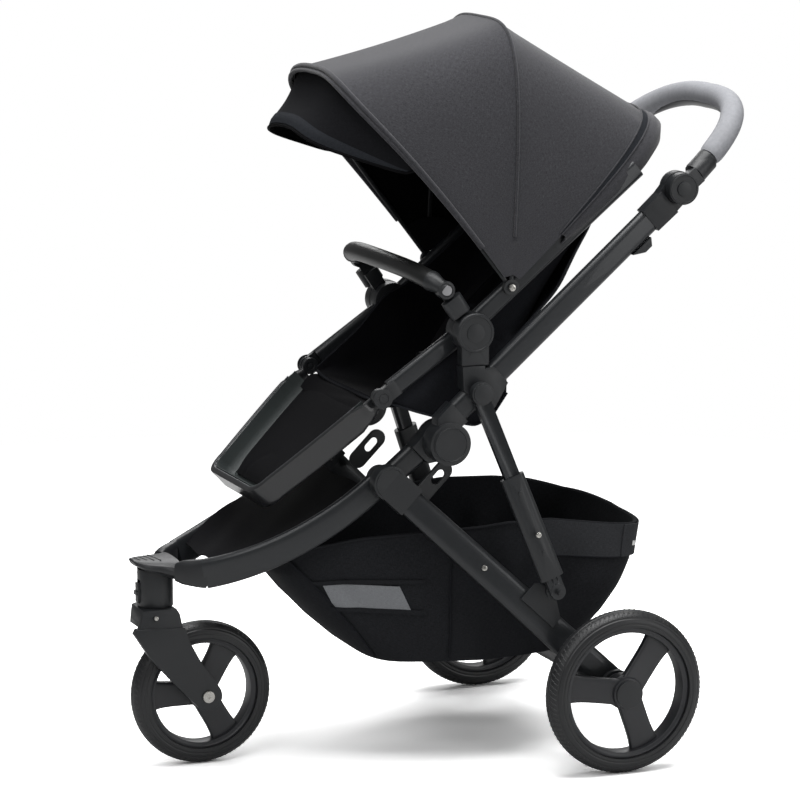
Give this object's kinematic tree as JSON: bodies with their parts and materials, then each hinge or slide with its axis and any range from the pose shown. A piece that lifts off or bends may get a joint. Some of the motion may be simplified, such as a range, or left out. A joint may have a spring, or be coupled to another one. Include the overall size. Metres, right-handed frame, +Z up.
{
  "type": "baby stroller",
  "caption": "Folding baby stroller with a reclining seat, extendable canopy, bumper bar, tilting handlebar and a cloth basket under the seat.",
  "frame": {"origin": "on the floor, at the middle of the footprint box", "axes": "-Y forwards, +X the child's left, +Z up"},
  "size_m": [0.623, 0.9709, 1.1167],
  "materials": {
    "frame_paint": "satin black powder coat",
    "dark_plastic": "matte charcoal, slightly blue",
    "rim_plastic": "satin black",
    "tyre_rubber": "matte black",
    "bright_metal": "satin",
    "canopy_cloth": "fine woven charcoal",
    "seat_cloth": "black woven",
    "webbing": "black webbing",
    "legrest_cover": "smooth coated grey-green",
    "grip_leather": "grained grey",
    "bumper_leather": "grained charcoal",
    "basket_mesh": "black mesh and webbing"
  },
  "bodies": {
    "front_frame": {"nose_block": "dark_plastic", "swivel_housing": "dark_plastic", "rail_left": "frame_paint", "rail_right": "frame_paint", "upper_tubes": "frame_paint", "fold_housings": "dark_plastic", "front_cross_tube": "frame_paint", "basket": "basket_mesh"},
    "swivel_lock": {"swivel_lock": "dark_plastic"},
    "fork": {"fork_arm": "dark_plastic", "fork_stem": "bright_metal", "front_axle": "bright_metal"},
    "front_wheel": {"front_tyre": "tyre_rubber", "front_rim": "rim_plastic"},
    "rear_legs": {"leg_left": "frame_paint", "leg_right": "frame_paint", "leg_caps": "dark_plastic", "leg_feet": "dark_plastic", "strut_brackets": "dark_plastic", "latch_plates": "dark_plastic", "rear_axle_beam": "frame_paint"},
    "brake": {"brake_pedal": "dark_plastic"},
    "wheel_left": {"rear_tyre_left": "tyre_rubber", "rear_rim_left": "rim_plastic", "hub_cap_left": "dark_plastic"},
    "wheel_right": {"rear_tyre_right": "tyre_rubber", "rear_rim_right": "rim_plastic", "hub_cap_right": "dark_plastic"},
    "struts": {"strut_left": "frame_paint", "strut_right": "frame_paint", "strut_covers": "dark_plastic", "strut_knobs": "dark_plastic"},
    "handle_frame": {"handle_tubes": "frame_paint", "fold_hubs": "dark_plastic", "seat_sockets": "dark_plastic", "seat_posts": "dark_plastic", "bar_housings": "dark_plastic"},
    "handlebar": {"handlebar_tube": "frame_paint", "handlebar_joints": "dark_plastic", "grip_cover": "grip_leather"},
    "bar_button_left": {"bar_button_left": "dark_plastic"},
    "bar_button_right": {"bar_button_right": "dark_plastic"},
    "fold_trigger_left": {"fold_trigger_left": "dark_plastic"},
    "fold_trigger_right": {"fold_trigger_right": "dark_plastic"},
    "seat_button_left": {"seat_button_left": "dark_plastic"},
    "seat_button_right": {"seat_button_right": "dark_plastic"},
    "seat": {"seat_frame": "frame_paint", "seat_hubs": "dark_plastic", "seat_bucket": "seat_cloth", "harness": "webbing", "bumper_arms": "dark_plastic", "canopy_rear_panel": "canopy_cloth"},
    "legrest": {"legrest_frame": "dark_plastic", "legrest_hubs": "dark_plastic", "legrest_pad": "legrest_cover"},
    "bumper": {"bumper_bar": "bumper_leather"},
    "canopy_middle": {"canopy_middle_bow": "dark_plastic", "canopy_middle_panel": "canopy_cloth"},
    "canopy_front": {"canopy_front_bow": "dark_plastic", "canopy_visor": "canopy_cloth"}
  },
  "joints": [
    {"name": "swivel_lock_slide", "type": "slide", "parent": "front_frame", "child": "swivel_lock", "axis": [0, 0, 1], "range_m": [0, 0.004]},
    {"name": "front_swivel", "type": "hinge", "parent": "front_frame", "child": "fork", "pos_m": [0, -0.44, 0.2], "axis": [0, 0, 1], "continuous": true},
    {"name": "front_wheel_spin", "type": "hinge", "parent": "fork", "child": "front_wheel", "pos_m": [0, -0.37, 0.11], "axis": [1, 0, 0], "continuous": true},
    {"name": "chassis_fold", "type": "hinge", "parent": "front_frame", "child": "handle_frame", "pos_m": [0, -0.043, 0.503], "axis": [1, 0, 0], "range_deg": [-110, 0], "deforming": ["basket"]},
    {"name": "rear_leg_fold", "type": "hinge", "parent": "front_frame", "child": "rear_legs", "pos_m": [0, -0.1255, 0.444], "axis": [1, 0, 0], "range_deg": [-58.4, 0]},
    {"name": "strut_fold", "type": "hinge", "parent": "rear_legs", "child": "struts", "pos_m": [0, 0.1137, 0.2756], "axis": [1, 0, 0], "range_deg": [0, 9.2]},
    {"name": "brake_pedal_press", "type": "hinge", "parent": "rear_legs", "child": "brake", "pos_m": [0, 0.2, 0.149], "axis": [1, 0, 0], "range_deg": [0, 18]},
    {"name": "rear_wheel_left_spin", "type": "hinge", "parent": "rear_legs", "child": "wheel_left", "pos_m": [0, 0.203, 0.125], "axis": [1, 0, 0], "continuous": true},
    {"name": "rear_wheel_right_spin", "type": "hinge", "parent": "rear_legs", "child": "wheel_right", "pos_m": [0, 0.203, 0.125], "axis": [1, 0, 0], "continuous": true},
    {"name": "handlebar_tilt", "type": "hinge", "parent": "handle_frame", "child": "handlebar", "pos_m": [0, 0.33141, 0.86773], "axis": [1, 0, 0], "range_deg": [-70, 30]},
    {"name": "bar_button_left_press", "type": "slide", "parent": "handlebar", "child": "bar_button_left", "axis": [-1, 0, 0], "range_m": [0, 0.0025], "stiffness_N_per_m": 400},
    {"name": "bar_button_right_press", "type": "slide", "parent": "handlebar", "child": "bar_button_right", "axis": [1, 0, 0], "range_m": [0, 0.0025], "stiffness_N_per_m": 400},
    {"name": "fold_trigger_left_pull", "type": "slide", "parent": "handle_frame", "child": "fold_trigger_left", "axis": [0, 0.7513, 0.66], "range_m": [0, 0.01], "stiffness_N_per_m": 300},
    {"name": "fold_trigger_right_pull", "type": "slide", "parent": "handle_frame", "child": "fold_trigger_right", "axis": [0, 0.7513, 0.66], "range_m": [0, 0.01], "stiffness_N_per_m": 300},
    {"name": "seat_button_left_press", "type": "slide", "parent": "handle_frame", "child": "seat_button_left", "axis": [-1, 0, 0], "range_m": [0, 0.0025], "stiffness_N_per_m": 400},
    {"name": "seat_button_right_press", "type": "slide", "parent": "handle_frame", "child": "seat_button_right", "axis": [1, 0, 0], "range_m": [0, 0.0025], "stiffness_N_per_m": 400},
    {"name": "seat_recline", "type": "hinge", "parent": "handle_frame", "child": "seat", "pos_m": [0, 0.0005, 0.666], "axis": [1, 0, 0], "range_deg": [-30, 0]},
    {"name": "legrest_tilt", "type": "hinge", "parent": "seat", "child": "legrest", "pos_m": [0, -0.13631, 0.57198], "axis": [1, 0, 0], "range_deg": [-35, 4]},
    {"name": "bumper_lift", "type": "hinge", "parent": "seat", "child": "bumper", "pos_m": [0, -0.04345, 0.73165], "axis": [1, 0, 0], "range_deg": [-45, 0]},
    {"name": "canopy_middle_fold", "type": "hinge", "parent": "seat", "child": "canopy_middle", "pos_m": [0, 0.06705, 0.72806], "axis": [1, 0, 0], "range_deg": [-37, 0], "deforming": ["canopy_rear_panel"]},
    {"name": "canopy_front_fold", "type": "hinge", "parent": "canopy_middle", "child": "canopy_front", "pos_m": [0, 0.06705, 0.72806], "axis": [1, 0, 0], "range_deg": [-35, 0], "deforming": ["canopy_middle_panel"]}
  ],
  "couplings": [
    {"joint": "rear_leg_fold", "follows": "chassis_fold", "ratio": 0.5294},
    {"joint": "strut_fold", "follows": "chassis_fold", "ratio": -0.0823}
  ]
}
